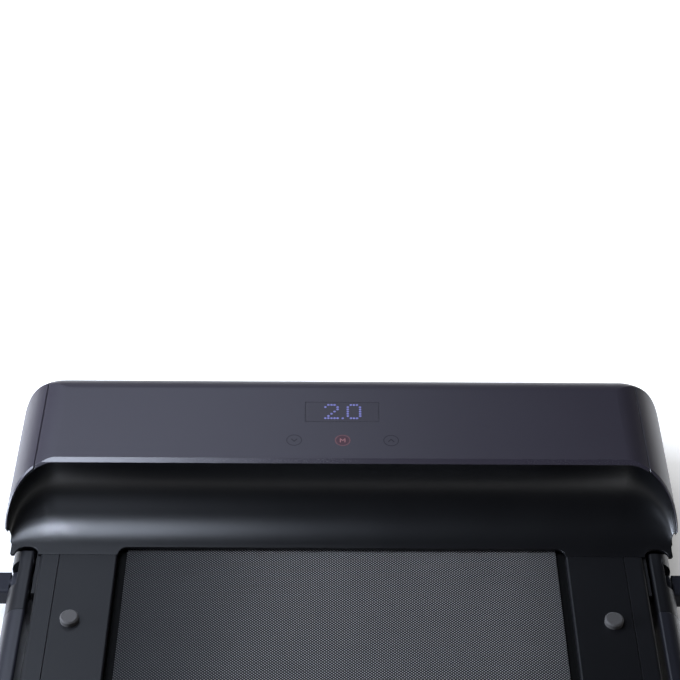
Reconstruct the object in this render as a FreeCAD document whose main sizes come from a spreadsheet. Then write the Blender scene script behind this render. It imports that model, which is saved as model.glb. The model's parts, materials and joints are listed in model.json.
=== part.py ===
import FreeCAD, Part
import math
import os
import re

import Sketcher

# A folding walking pad with a fold-down handrail, in millimetres.
# X points right, Y forward to the motor housing, Z up. The origin is on the floor, under the middle.

# The driving dimensions: one cell of the sheet each.
SIZES = {
    # Lengths along the deck. The foot line is where the cove panel ends over the belt.
    "housing_depth": 200.5,
    "walk_length": 1060,
    "bar_gap": 24,
    "fold_rest": 6,
    "lip_reach": 10.4,
    "cove_reach": 3.2,
    "pivot_setback": 31,
    "bumper_setback": 96.7,
    "roller_advance": 34,
    "rear_roller_inset": 36,
    "rear_cap_length": 68,
    "guard_depth": 10,
    "guard_rise": 8,
    "rear_radius": 30,
    "bolt_radius": 4,
    "bolt_head": 6.5,
    "corner_length": 62,
    # Widths across the deck.
    "belt_width": 440,
    "belt_gap": 9,
    "tread_width": 59,
    "trim_width": 20,
    "arm_gap": 6.6,
    "arm_width": 23,
    "shell_overhang": 8,
    "skirt_step": 1.5,
    "sill_inset": 14,
    "cap_width": 29.5,
    "knob_reach": 22.4,
    # Heights.
    "foot_height": 10,
    "beam_height": 50,
    "belt_drop": 6,
    "housing_rise": 65,
    "cap_height": 52.5,
    "bumper_height": 6,
    "pivot_height": 40,
    "arm_rise": 23,
    "arm_fall": 18,
    # Walls.
    "shell_wall": 2.6,
    "rim_fall": 2.3,
    "rim_run": 5.5,
    "cove_wall": 3,
    "tray_wall": 2.5,
    "pan_wall": 2,
    "tread_wall": 4,
    "trim_wall": 2,
    "beam_wall": 2,
    "beam_width": 16,
    "tube_wall": 2,
    "cap_wall": 3,
    # Rounded forms of the housing.
    "crown_radius": 51,
    "nose_radius": 31,
    "plan_radius": 46,
    "mouth_radius": 10,
    "toe_chamfer": 26,
    # Walking surface and rollers.
    "belt_wall": 1.8,
    "board_wall": 15,
    "roller_radius": 20,
    "roller_wall": 3,
    "roller_plug": 20,
    "roller_overhang": 6,
    "axle_radius": 8,
    "pulley_radius": 18,
    "pulley_width": 22,
    "pulley_hub": 12,
    "member_width": 40,
    "member_height": 16,
    # Motor and its drive.
    "motor_radius": 36,
    "motor_length": 130,
    "motor_inset": 80,
    "motor_lift": 60,
    "motor_wall": 3,
    "shaft_radius": 5,
    "core_radius": 22,
    "motor_pulley": 10,
    "drive_belt_wall": 2,
    "drive_belt_width": 16,
    "cradle_width": 16,
    # Handrail.
    "hub_radius": 36,
    "seam_radius": 54,
    "arm_crown": 16,
    "arm_keel": 10,
    "arm_edge": 3,
    "pin_radius": 7,
    "bracket_wall": 3.5,
    "bracket_length": 56,
    "washer_radius": 14,
    "knob_disc": 14,
    "knob_recess": 9,
    "knob_neck": 8,
    "wing_length": 27,
    "wing_height": 15,
    "wing_drop": 6,
    "wing_round": 9,
    "bar_radius": 15,
    "grip_radius": 19,
    "grip_length": 190,
    "grip_inset": 26,
    "corner_radius": 46,
    "corner_reach": 34,
    # Fold hinge.
    "knuckle_radius": 8,
    "hinge_pin": 3,
    "hinge_setback": 12,
    "leaf_wall": 4,
    "leaf_height": 34,
    # Bumpers, feet and transport wheels.
    "bumper_radius": 9.3,
    "foot_radius": 16,
    "wheel_radius": 16,
    "wheel_width": 20,
    "wheel_place": 230,
    "wheel_axle": 4,
    "ear_wall": 4,
    "rubber_bevel": 1.5,
    # Display, controller and power socket.
    "lens_width": 78,
    "lens_depth": 30,
    "lens_wall": 1.5,
    "lens_advance": 72.2,
    "lens_ledge": 3,
    "board_gap": 7,
    "panel_width": 150,
    "panel_depth": 84,
    "controller_place": 40,
    "controller_width": 110,
    "controller_depth": 80,
    "fin_height": 24,
    "fin_wall": 2.4,
    "circuit_wall": 1.6,
    "socket_place": 190,
    "socket_width": 58,
    "socket_height": 24,
    "socket_depth": 26,
    "inlet_width": 24,
    "inlet_height": 16,
    "rocker_width": 11,
    "rocker_height": 17,
    "vent_width": 4,
    "vent_pitch": 9,
    # Clearances.
    "seam": 0.6,
    "slip": 0.3,
    "running": 0.06,
    "fold_gap": 3,
    "hub_clear": 3,
    "wheel_clear": 2,
}

# Places worked out from the driving dimensions.
PLACES = {
    "y_front": "(housing_depth + walk_length + bar_gap) / 2 + grip_radius",
    "y_foot": "y_front - housing_depth",
    "y_rear": "y_foot - walk_length",
    "y_bar": "y_rear - bar_gap - grip_radius",
    "y_fold": "(y_foot - fold_rest + y_rear) / 2",
    "y_lip": "y_foot - lip_reach",
    "y_cove": "y_foot - cove_reach",
    "y_rim": "y_cove + housing_rise",
    "y_pivot": "y_foot - pivot_setback",
    "y_tray": "y_pivot + hub_radius + hub_clear",
    "y_roller": "y_foot + roller_advance",
    "y_rear_roller": "y_rear + rear_roller_inset",
    "y_cap": "y_rear + rear_cap_length",
    "y_corner": "y_bar + corner_length",
    "y_motor": "y_front - motor_inset",
    "y_lens": "y_rim + lens_advance",
    "y_wheel": "y_front - skirt_step - toe_chamfer + 6",
    "z_pan": "foot_height + pan_wall",
    "z_beam": "z_pan + beam_height",
    "z_rail": "z_beam + tread_wall",
    "z_belt": "z_rail - belt_drop",
    "z_board": "z_belt - belt_wall - slip",
    "z_member": "z_board - board_wall",
    "z_roller": "z_belt - belt_wall - band_radius",
    "z_top": "z_rail + housing_rise",
    "z_split": "z_top - cap_height",
    "z_fold": "z_rail + bumper_height / 2 + slip / 2",
    "z_scoop": "z_rail + cove_radius",
    "z_arm_top": "pivot_height + arm_rise",
    "z_arm_low": "pivot_height - arm_fall",
    "z_bar": "(z_arm_top + z_arm_low) / 2",
    "z_motor": "z_pan + motor_lift",
    "z_wheel": "wheel_radius + wheel_clear",
    "z_socket": "(z_split + foot_height + toe_chamfer) / 2",
    "x_belt": "belt_width / 2",
    "x_rail": "x_belt + belt_gap",
    "x_seam": "x_rail + tread_width",
    "x_deck": "x_seam + trim_width",
    "x_beam_out": "x_deck - trim_wall",
    "x_beam": "x_beam_out - beam_width",
    "x_arm": "x_deck + arm_gap",
    "x_arm_out": "x_arm + arm_width",
    "x_shell": "x_arm_out + shell_overhang",
    "x_skirt": "x_shell - skirt_step",
    "x_cap": "x_shell - cap_width",
    "x_knob": "x_arm_out + knob_reach",
    "x_recess": "x_arm_out - knob_recess",
    "x_corner": "x_arm - corner_reach",
    "x_roller": "x_belt + roller_overhang",
    "x_pulley": "x_roller + seam",
    "x_motor_out": "x_pulley - pulley_width / 2",
    "x_motor": "x_motor_out - motor_length",
    "x_bolt": "(x_rail + x_beam) / 2",
    "cove_radius": "housing_rise - shell_wall",
    "band_radius": "roller_radius + slip",
}

DOC = FreeCAD.newDocument("walking_pad")
SHEET = DOC.addObject("Spreadsheet::Sheet", "Sizes")
for row, (alias, size) in enumerate(SIZES.items(), 1):
    SHEET.set(f"A{row}", alias)
    SHEET.set(f"B{row}", str(size))
    SHEET.setAlias(f"B{row}", alias)
DOC.recompute()

LEFT_RIGHT = FreeCAD.Vector(1, 0, 0)
DIRECTIONS = {"x": FreeCAD.Vector(1, 0, 0), "y": FreeCAD.Vector(0, 1, 0), "z": FreeCAD.Vector(0, 0, 1)}


def cells(text):
    """An expression in which each name of a size or place is written out as cells of the sheet."""

    def spell(word):
        name = word.group()
        if name in PLACES:
            return "(" + cells(PLACES[name]) + ")"
        return "Sizes." + name if name in SIZES else name

    return re.sub(r"[a-z_]+", spell, text)


def number(text):
    """The value of an expression now."""
    return float(SHEET.evalExpression(cells(text)))


def bind(piece, prop, text):
    """Ties a property of a piece to the sheet."""
    piece.setExpression(prop, cells(text))


class Bow:
    """A stretch of an outline that reaches a point along an arc, turning 1 to the left or -1 to the right."""

    def __init__(self, across, up, radius, turn):
        self.end = (across, up)
        self.radius = radius
        self.turn = turn


def corner_ends(before, corner, after, radius):
    """The two points where a rounded corner begins and ends, its sides lying along the axes."""
    ends = []
    for other in (before, after):
        shifts = [number(there) - number(here) for here, there in zip(corner, other)]
        moved = 0 if abs(shifts[0]) > abs(shifts[1]) else 1
        sign = "+" if shifts[moved] > 0 else "-"
        end = list(corner)
        end[moved] = f"({corner[moved]}) {sign} ({radius})"
        ends.append(tuple(end))
    turn_in = [number(a) - number(b) for a, b in zip(corner, before)]
    turn_out = [number(a) - number(b) for a, b in zip(after, corner)]
    turn = 1 if turn_in[0] * turn_out[1] - turn_in[1] * turn_out[0] > 0 else -1
    return ends[0], Bow(*ends[1], radius, turn)


def stretches(outline):
    """The outline as a list of (start, end, radius or None, turn)."""
    corners = [step.end if isinstance(step, Bow) else step[:2] for step in outline]
    steps = []
    for place, step in enumerate(outline):
        if not isinstance(step, Bow) and len(step) == 3:
            after = corners[(place + 1) % len(corners)]
            steps.extend(corner_ends(corners[place - 1], corners[place], after, step[2]))
        else:
            steps.append(step)
    points = [step.end if isinstance(step, Bow) else step for step in steps]
    return [
        (points[place - 1], points[place], getattr(step, "radius", None), getattr(step, "turn", 0))
        for place, step in enumerate(steps)
    ]


def arc_between(start, end, radius, turn):
    """The shorter arc from start to end, and which of its ends is the start."""
    chord = end - start
    side = FreeCAD.Vector(-chord.y, chord.x, 0).normalize() * turn
    rise = math.sqrt(max(radius**2 - (chord.Length / 2) ** 2, 0))
    centre = start + chord / 2 + side * rise
    first, last = (start, end) if turn > 0 else (end, start)
    angles = [math.atan2(point.y - centre.y, point.x - centre.x) for point in (first, last)]
    arc = Part.ArcOfCircle(Part.Circle(centre, DIRECTIONS["z"], radius), *angles)
    return arc, (1, 2) if turn > 0 else (2, 1)


def draw(sketch, outline):
    """Draws one closed outline whose points and radii are bound to the sheet."""
    edges = []
    for start, end, radius, turn in stretches(outline):
        here, there = (FreeCAD.Vector(number(point[0]), number(point[1]), 0) for point in (start, end))
        if radius is None:
            edge = sketch.addGeometry(Part.LineSegment(here, there))
            edges.append((edge, 1, 2, start, None))
        else:
            arc, (first, last) = arc_between(here, there, number(radius), turn)
            edges.append((sketch.addGeometry(arc), first, last, start, radius))
    for place, (edge, first, last, start, radius) in enumerate(edges):
        following = edges[(place + 1) % len(edges)]
        sketch.addConstraint(Sketcher.Constraint("Coincident", edge, last, following[0], following[1]))
        for kind, text in zip(("DistanceX", "DistanceY"), start):
            constraint = Sketcher.Constraint(kind, -1, 1, edge, first, number(text))
            bind(sketch, f"Constraints[{sketch.addConstraint(constraint)}]", text)
        if radius is not None:
            constraint = Sketcher.Constraint("Radius", edge, number(radius))
            bind(sketch, f"Constraints[{sketch.addConstraint(constraint)}]", radius)


def sketch_in(body, plane):
    """A sketch on one of the body's own origin planes."""
    sketch = body.newObject("Sketcher::SketchObject", body.Name + "Sketch")
    support = next(item for item in body.Origin.OriginFeatures if item.Role == plane + "_Plane")
    sketch.AttachmentSupport = [(support, "")]
    sketch.MapMode = "FlatFace"
    return sketch


def prism(name, plane, outlines, span):
    """A body with closed outlines in a plane, padded along that plane's axis from span[0] to span[1]."""
    body = DOC.addObject("PartDesign::Body", name)
    sketch = sketch_in(body, plane)
    for outline in outlines:
        draw(sketch, outline)
    offset = f"-({span[1]})" if plane == "XZ" else span[0]
    bind(sketch, "AttachmentOffset.Base.z", offset)
    pad = body.newObject("PartDesign::Pad", name + "Pad")
    pad.Profile = sketch
    bind(pad, "Length", f"({span[1]}) - ({span[0]})")
    return body


def turned(name, centre, outline):
    """A body of revolution about a line along X through centre (y, z); the outline is in (x, radius)."""
    body = DOC.addObject("PartDesign::Body", name)
    sketch = sketch_in(body, "XZ")
    draw(sketch, outline)
    bind(sketch, "AttachmentOffset.Base.y", centre[1])
    bind(sketch, "AttachmentOffset.Base.z", f"-({centre[0]})")
    turn = body.newObject("PartDesign::Revolution", name + "Turn")
    turn.Profile = sketch
    turn.ReferenceAxis = (sketch, ["H_Axis"])
    turn.Angle = 360
    return body


def round_edges(body, radius, pick):
    """Rounds the edges of a body that pick chooses."""
    DOC.recompute()
    base = body.Tip
    names = [f"Edge{place}" for place, edge in enumerate(base.Shape.Edges, 1) if pick(edge)]
    fillet = body.newObject("PartDesign::Fillet", body.Name + "Round")
    fillet.Base = (base, names)
    bind(fillet, "Radius", radius)
    return body


def box(name, x, y, z):
    """A block between pairs of coordinates."""
    piece = DOC.addObject("Part::Box", name)
    for prop, axis, (low, high) in zip(("Length", "Width", "Height"), "xyz", (x, y, z)):
        bind(piece, prop, f"({high}) - ({low})")
        bind(piece, f"Placement.Base.{axis}", low)
    return piece


def rod(name, axis, centre, span, radius):
    """A cylinder along an axis; centre holds its other two coordinates in order."""
    piece = DOC.addObject("Part::Cylinder", name)
    turn = FreeCAD.Rotation(DIRECTIONS["z"], DIRECTIONS[axis])
    piece.Placement = FreeCAD.Placement(FreeCAD.Vector(), turn)
    bind(piece, "Radius", radius)
    bind(piece, "Height", f"({span[1]}) - ({span[0]})")
    others = [other for other in "xyz" if other != axis]
    for other, text in zip((axis, *others), (span[0], *centre)):
        bind(piece, f"Placement.Base.{other}", text)
    return piece


def stud(name, x, y, z, radius, bevel):
    """An upright round block with a bevelled top, from z[0] up to z[1]."""
    shank = rod(name + "_shank", "z", (x, y), (z[0], f"({z[1]}) - ({bevel})"), radius)
    top = DOC.addObject("Part::Cone", name + "_top")
    bind(top, "Radius1", radius)
    bind(top, "Radius2", f"({radius}) - ({bevel})")
    bind(top, "Height", bevel)
    for axis, text in zip("xyz", (x, y, f"({z[1]}) - ({bevel})")):
        bind(top, f"Placement.Base.{axis}", text)
    return fuse(name, shank, top)


def join(kind, name, pieces):
    """A boolean of several pieces."""
    result = DOC.addObject(kind, name)
    result.Shapes = list(pieces)
    return result


def fuse(name, *pieces):
    return join("Part::MultiFuse", name, pieces)


def common(name, *pieces):
    return join("Part::MultiCommon", name, pieces)


def cut(name, base, *tools):
    result = DOC.addObject("Part::Cut", name)
    result.Base = base
    result.Tool = tools[0] if len(tools) == 1 else fuse(name + "_tools", *tools)
    return result


def mirror(name, piece):
    """The same piece on the other side of the middle."""
    result = DOC.addObject("Part::Mirroring", name)
    result.Source = piece
    result.Normal = LEFT_RIGHT
    return result


def group(name, *pieces):
    """Separate solids that share one node."""
    result = DOC.addObject("Part::Compound", name)
    result.Links = list(pieces)
    return result


def both_sides(name, piece):
    """A pair as one node: the piece on the right and its mirror on the left."""
    return group(name, piece, mirror(name + "_left", piece))


def shell_block(name, inset, low, rear):
    """The housing's upper form: crowned section, rounded nose and rounded plan, drawn in by inset."""
    side = f"x_shell - {inset}"
    top = f"z_top - {inset}"
    front = f"y_front - {inset}"
    crown = f"crown_radius - {inset}"
    nose = f"nose_radius - {inset}"
    plan = f"plan_radius - {inset}"
    section = [(f"-({side})", low), (f"-({side})", top, crown), (side, top, crown), (side, low)]
    profile = [*rear, (front, top), (front, low)]
    outline = [(f"-({side})", "y_lip"), (side, "y_lip"), (side, front, plan), (f"-({side})", front, plan)]
    highest, rearmost = number(top), number("y_lip")

    def rim(edge):
        reach = edge.BoundBox
        return reach.ZMin > highest - 1e-6 and reach.YMax > rearmost + 1e-6

    return common(
        name,
        prism(name + "_section", "XZ", [section], ("y_lip", "y_front")),
        prism(name + "_profile", "YZ", [profile], ("-x_shell", "x_shell")),
        round_edges(prism(name + "_plan", "XY", [outline], (low, top)), nose, rim),
    )


def housing_cover():
    """The crowned shell over the motor, cut at 45 degrees behind with a bevelled rim, split at two seams."""
    rear = [
        ("y_cove + z_split - z_rail", "z_split"),
        ("y_rim - rim_fall", "z_top - rim_fall"),
        ("y_rim - rim_fall + rim_run", "z_top"),
    ]
    outer = shell_block("shell_outer", "0", "z_split", rear)
    inner = shell_block(
        "shell_inner", "shell_wall", "z_split - seam", [("y_lip", "z_split - seam"), ("y_lip", "z_top - shell_wall")]
    )
    window = box(
        "lens_window",
        ("-lens_width / 2 + lens_ledge", "lens_width / 2 - lens_ledge"),
        ("y_lens - lens_depth / 2 + lens_ledge", "y_lens + lens_depth / 2 - lens_ledge"),
        ("z_top - 2 * shell_wall", "z_top + shell_wall"),
    )
    seat = box(
        "lens_seat",
        ("-lens_width / 2", "lens_width / 2"),
        ("y_lens - lens_depth / 2", "y_lens + lens_depth / 2"),
        ("z_top - lens_wall", "z_top + lens_wall"),
    )
    shell = cut("shell", outer, inner, window, seat)
    reach = (("y_lip", "y_front"), ("z_split", "z_top"))
    middle = box("cover_span", ("-x_cap + seam / 2", "x_cap - seam / 2"), *reach)
    end = box("cap_span", ("x_cap + seam / 2", "x_shell"), *reach)
    right = common("end_cap_right", shell, end)
    return [common("top_cover", shell, middle), right, mirror("end_cap_left", right)]


def display():
    """The smoked window, and the board with its digits and key pads behind it."""
    lens = box(
        "display_lens",
        ("-lens_width / 2 + slip", "lens_width / 2 - slip"),
        ("y_lens - lens_depth / 2 + slip", "y_lens + lens_depth / 2 - slip"),
        ("z_top - lens_wall", "z_top"),
    )
    ceiling = "z_top - shell_wall"
    rear = "y_lens + lens_depth / 2 + lens_ledge - panel_depth"
    sheet = box(
        "display_sheet",
        ("-panel_width / 2", "panel_width / 2"),
        (rear, f"{rear} + panel_depth"),
        (f"{ceiling} - board_gap - circuit_wall", f"{ceiling} - board_gap"),
    )
    digits = box(
        "digit_block",
        ("-lens_width / 2 + 2 * lens_ledge", "lens_width / 2 - 2 * lens_ledge"),
        ("y_lens - lens_depth / 2 + 2 * lens_ledge", "y_lens + lens_depth / 2 - 2 * lens_ledge"),
        (f"{ceiling} - board_gap", "z_top - lens_wall - slip"),
    )
    posts = []
    for side in ("-1", "1"):
        for end in ("0", "1"):
            place = (
                f"{side} * (panel_width / 2 - 2 * lens_ledge)",
                f"{rear} + 2 * lens_ledge + {end} * (panel_depth - 4 * lens_ledge)",
            )
            span = (f"{ceiling} - board_gap", ceiling)
            posts.append(rod(f"display_post_{len(posts)}", "z", place, span, "lens_ledge"))
    return [lens, fuse("display_board", sheet, digits, *posts)]


def trough_outline(radius):
    """The space behind a quarter arc that rises from the deck's level to the rim."""
    behind = "y_lip - lip_reach"
    top = f"z_rail + ({radius}) + shell_wall"
    return [
        (behind, "z_rail"),
        ("y_cove", "z_rail"),
        Bow(f"y_cove + ({radius})", f"z_rail + ({radius})", radius, 1),
        (f"y_cove + ({radius})", top),
        (behind, top),
    ]


def scoop():
    """The hollow of the cove: a trough whose ends are bowls that follow the inside of the crowned shell."""
    crown = "(crown_radius - shell_wall)"
    corner = f"x_shell - shell_wall - {crown}"
    foot = f"z_top - shell_wall - {crown} - z_rail + slip"
    bowl = DOC.addObject("PartDesign::Body", "scoop_bowl")
    sketches = []
    for degrees in (0, 10, 20, 30, 40, 50, 60, 70, 80, 90):
        angle = math.radians(degrees)
        sketch = sketch_in(bowl, "YZ")
        draw(sketch, trough_outline(f"{foot} + {crown} * {math.cos(angle):.6f}"))
        bind(sketch, "AttachmentOffset.Base.z", f"{corner} + {crown} * {math.sin(angle):.6f}")
        sketches.append(sketch)
    loft = bowl.newObject("PartDesign::AdditiveLoft", "scoop_bowl_loft")
    loft.Profile = sketches[0]
    loft.Sections = sketches[1:]
    trough = prism("scoop_trough", "YZ", [trough_outline(f"{foot} + {crown}")], (f"-({corner})", corner))
    outlet = prism("scoop_outlet", "YZ", [trough_outline(foot)], ("x_shell - shell_wall", "x_shell + seam"))
    end = fuse("scoop_end", bowl, outlet)
    return [trough, end, mirror("scoop_end_left", end)]


def cove_panel():
    """The concave panel that sweeps from the housing's rim down to the deck, with a bowl at each end."""
    back = "cove_radius + cove_wall"
    slab = [
        ("y_lip", "z_rail - cove_wall"),
        ("y_lip", "z_rail"),
        ("y_cove", "z_rail"),
        ("y_cove + cove_radius", "z_scoop"),
        (f"y_cove + {back}", "z_scoop"),
        Bow("y_cove", "z_rail - cove_wall", back, -1),
    ]
    inside = "x_shell - shell_wall"
    crown = "crown_radius - shell_wall"
    section = [
        ("-x_arm_out", "z_rail - cove_wall"),
        ("-x_skirt", "z_split"),
        (f"-({inside})", "z_split"),
        (f"-({inside})", "z_top - shell_wall", crown),
        (inside, "z_top - shell_wall", crown),
        (inside, "z_split"),
        ("x_skirt", "z_split"),
        ("x_arm_out", "z_rail - cove_wall"),
    ]
    mouth = prism(
        "belt_mouth",
        "XY",
        [
            [
                ("-x_rail", "y_lip - lip_reach"),
                ("x_rail", "y_lip - lip_reach"),
                ("x_rail", "y_foot", "mouth_radius - slip"),
                ("-x_rail", "y_foot", "mouth_radius - slip"),
            ]
        ],
        ("z_beam", "z_top"),
    )
    notch = prism(
        "hub_notch",
        "XY",
        [
            [
                ("x_deck + arm_gap / 3", "y_lip - lip_reach"),
                ("x_arm_out - arm_edge", "y_lip - lip_reach"),
                ("x_arm_out - arm_edge", "y_foot", "lip_reach"),
                ("x_deck + arm_gap / 3", "y_foot", "lip_reach"),
            ]
        ],
        ("z_beam", "z_top"),
    )
    blank = common(
        "cove_blank",
        prism("cove_slab", "YZ", [slab], ("-x_shell", "x_shell")),
        prism("cove_section", "XZ", [section], ("y_lip", "y_front")),
    )
    return [cut("cove_panel", blank, *scoop(), mouth, notch, mirror("hub_notch_left", notch))]


def tray_block(name, inset, low, high, rear):
    """The housing's lower form: tapered sides and a chamfered toe, drawn in by inset."""
    skirt = f"x_skirt - {inset}"
    sill = f"x_skirt - sill_inset - {inset}"
    front = f"y_front - skirt_step - {inset}"
    plan = f"plan_radius - skirt_step - {inset}"
    toe = "toe_chamfer"
    section = [(f"-({sill})", low), (f"-({skirt})", high), (skirt, high), (sill, low)]
    profile = [(rear, low), (rear, high), (front, high), (front, f"{low} + {toe}"), (f"{front} - {toe}", low)]
    outline = [(f"-({skirt})", rear), (skirt, rear), (skirt, front, plan), (f"-({skirt})", front, plan)]
    return common(
        name,
        prism(name + "_section", "XZ", [section], (rear, "y_front")),
        prism(name + "_profile", "YZ", [profile], ("-x_shell", "x_shell")),
        prism(name + "_plan", "XY", [outline], (low, high)),
    )


def base_pan():
    """The open tray under the motor, with vents, a toe cut back for the wheels and ears for their axles."""
    outer = tray_block("tray_outer", "0", "foot_height", "z_split", "y_tray")
    inner = tray_block("tray_inner", "tray_wall", "z_pan", "z_split + seam", "y_tray - seam")
    over = "cove_radius + cove_wall"
    cove_space = prism(
        "cove_space",
        "YZ",
        [
            [
                ("y_lip", "z_rail - cove_wall"),
                ("y_lip", "z_top"),
                (f"y_cove + {over}", "z_top"),
                (f"y_cove + {over}", "z_scoop"),
                Bow("y_cove", "z_rail - cove_wall", over, -1),
            ]
        ],
        ("-x_shell", "x_shell"),
    )
    half = "(wheel_width / 2 + wheel_clear)"
    slot = box(
        "wheel_slot",
        (f"wheel_place - {half}", f"wheel_place + {half}"),
        ("y_wheel - wheel_radius - wheel_clear", "y_front"),
        ("0", "z_wheel + wheel_radius + wheel_clear"),
    )
    socket = box(
        "socket_hole",
        ("socket_place - socket_width / 2", "socket_place + socket_width / 2"),
        ("y_front - nose_radius", "y_front"),
        ("z_socket - socket_height / 2", "z_socket + socket_height / 2"),
    )
    ears = []
    for place, low in enumerate((f"wheel_place - {half} - ear_wall", f"wheel_place + {half}")):
        ear = box(
            f"ear_{place}",
            (low, f"{low} + ear_wall"),
            ("y_wheel - 3 * wheel_axle", "y_wheel + 3 * wheel_axle"),
            ("foot_height", "z_wheel + 3 * wheel_axle"),
        )
        ears.append(common(f"trimmed_ear_{place}", ear, outer))
    bore = rod(
        "axle_bore",
        "x",
        ("y_wheel", "z_wheel"),
        (f"wheel_place - {half} - ear_wall", f"wheel_place + {half} + ear_wall"),
        "wheel_axle",
    )
    vents = []
    for place in range(7):
        middle = f"-socket_place + {place - 3} * vent_pitch"
        vents.append(
            box(
                f"vent_{place}",
                (f"{middle} - vent_width / 2", f"{middle} + vent_width / 2"),
                ("y_front - nose_radius", "y_front"),
                ("z_socket - socket_height / 2", "z_socket + socket_height / 2"),
            )
        )
    tray = cut("tray", outer, inner, cove_space, socket, *vents, slot, mirror("wheel_slot_left", slot))
    blank = fuse("eared_tray", tray, both_sides("ears", fuse("ear_pair", *ears)))
    return [cut("base_pan", blank, bore, mirror("axle_bore_left", bore))]


def transport_wheels():
    """Two rollers in the toe of the tray, each on its own axle."""
    centre = ("y_wheel", "z_wheel")
    low, high = ("wheel_place - wheel_width / 2", "wheel_place + wheel_width / 2")
    bore = "wheel_axle + running"
    wheel = turned(
        "wheel_right",
        centre,
        [
            (low, bore),
            (low, "wheel_radius", "wheel_axle / 2"),
            (high, "wheel_radius", "wheel_axle / 2"),
            (high, bore),
        ],
    )
    reach = "(wheel_width / 2 + wheel_clear + ear_wall)"
    axle = rod("wheel_axle_right", "x", centre, (f"wheel_place - {reach}", f"wheel_place + {reach}"), "wheel_axle")
    return [wheel, mirror("wheel_left", wheel), both_sides("wheel_axles", axle)]


def power_socket():
    """The mains inlet and the rocker switch in one panel at the front of the tray."""
    face = "y_front - skirt_step"
    left = "socket_place - socket_width / 2"
    right = "socket_place + socket_width / 2"
    height = ("z_socket - socket_height / 2", "z_socket + socket_height / 2")
    block = box("socket_block", (left, right), (f"{face} - socket_depth", face), height)
    margin = "(socket_height - inlet_height) / 2"
    inlet_left = f"{left} + {margin}"
    inlet = box(
        "inlet_space",
        (inlet_left, f"{inlet_left} + inlet_width"),
        (f"{face} - socket_depth + tray_wall", face),
        ("z_socket - inlet_height / 2", "z_socket + inlet_height / 2"),
    )
    pins = []
    for place in range(3):
        centre = f"{inlet_left} + inlet_width * {place + 1} / 4"
        pins.append(
            box(
                f"inlet_pin_{place}",
                (f"{centre} - slip * 3", f"{centre} + slip * 3"),
                (f"{face} - socket_depth + tray_wall", f"{face} - 2 * tray_wall"),
                ("z_socket - shell_wall / 2", "z_socket + shell_wall / 2"),
            )
        )
    middle = f"{right} - {margin} - rocker_width / 2 - seam"
    half_width = "(rocker_width / 2 + seam)"
    half_height = "(rocker_height / 2 + seam)"
    well = box(
        "rocker_well",
        (f"{middle} - {half_width}", f"{middle} + {half_width}"),
        (f"{face} - socket_depth + tray_wall", face),
        (f"z_socket - {half_height}", f"z_socket + {half_height}"),
    )
    axis = (f"{face} - tray_wall", "z_socket")
    pivot = rod("rocker_pin", "x", axis, (f"{middle} - {half_width}", f"{middle} + {half_width}"), "slip * 4")
    panel = fuse("power_socket", cut("socket_shell", block, inlet, well), *pins, pivot)
    tip = "rocker_height / 2"
    rocker = prism(
        "rocker_body",
        "YZ",
        [
            [
                (f"{face} - tray_wall * 2", f"z_socket - {tip} + tray_wall"),
                (f"{face} - seam", f"z_socket - {tip}"),
                (f"{face} - tray_wall / 2", "z_socket"),
                (f"{face} - seam", f"z_socket + {tip}"),
                (f"{face} - tray_wall * 2", f"z_socket + {tip} - tray_wall"),
            ]
        ],
        (f"{middle} - rocker_width / 2", f"{middle} + rocker_width / 2"),
    )
    bore = rod(
        "rocker_bore", "x", axis, (f"{middle} - rocker_width", f"{middle} + rocker_width"), "slip * 4 + running"
    )
    return [panel, cut("power_rocker", rocker, bore)]


def stadium(front, rear, height, rim):
    """A closed outline of two straight runs between round ends."""
    return [
        Bow(rear, f"{height} - ({rim})", rim, 1),
        (front, f"{height} - ({rim})"),
        Bow(f"{front} + {rim}", height, rim, 1),
        Bow(front, f"{height} + {rim}", rim, 1),
        (rear, f"{height} + {rim}"),
        Bow(f"{rear} - ({rim})", height, rim, 1),
    ]


def walking_belt():
    """The endless belt round both rollers, over and under the deck boards."""
    ends = ("y_roller", "y_rear_roller", "z_roller")
    runs = [stadium(*ends, "band_radius + belt_wall"), stadium(*ends, "band_radius")]
    return [prism("walking_belt", "YZ", runs, ("-x_belt", "x_belt"))]


def tube_outline(neck):
    """Half section of a roller: a tube with a bored plug in each end; neck lengthens its left plug."""
    bore = "axle_radius + running"
    inside = "roller_radius - roller_wall"
    plug = "x_roller - roller_plug"
    return [
        *neck(bore),
        ("-x_roller", "roller_radius"),
        ("x_roller", "roller_radius"),
        ("x_roller", bore),
        (plug, bore),
        (plug, inside),
        (f"-({plug})", inside),
        (f"-({plug})", bore),
    ]


def rollers():
    """The driven front roller with its pulley, the rear roller, and the fixed axle of each."""
    pulley_end = "-x_pulley - pulley_width"
    front = turned(
        "drive_roller",
        ("y_roller", "z_roller"),
        tube_outline(lambda bore: [(pulley_end, bore), (pulley_end, "pulley_hub"), ("-x_roller", "pulley_hub")]),
    )
    rear = turned(
        "rear_roller", ("y_rear_roller", "z_roller"), tube_outline(lambda bore: [("-x_roller", bore)])
    )
    flange = "(pulley_width - drive_belt_width) / 2 - slip"
    rim = "pulley_radius + drive_belt_wall"
    pulley = turned(
        "roller_pulley",
        ("y_roller", "z_roller"),
        [
            (pulley_end, "pulley_hub"),
            (pulley_end, rim),
            (f"{pulley_end} + {flange}", rim),
            (f"{pulley_end} + {flange}", "pulley_radius"),
            (f"-x_pulley - ({flange})", "pulley_radius"),
            (f"-x_pulley - ({flange})", rim),
            ("-x_pulley", rim),
            ("-x_pulley", "pulley_hub"),
        ],
    )
    front_axle = rod("front_axle", "x", ("y_roller", "z_roller"), ("-x_beam", "x_beam"), "axle_radius")
    span = ("-x_beam + leaf_wall", "x_beam - leaf_wall")
    rear_axle = rod("rear_axle", "x", ("y_rear_roller", "z_roller"), span, "axle_radius")
    return [front, pulley, front_axle, rear, rear_axle]


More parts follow.
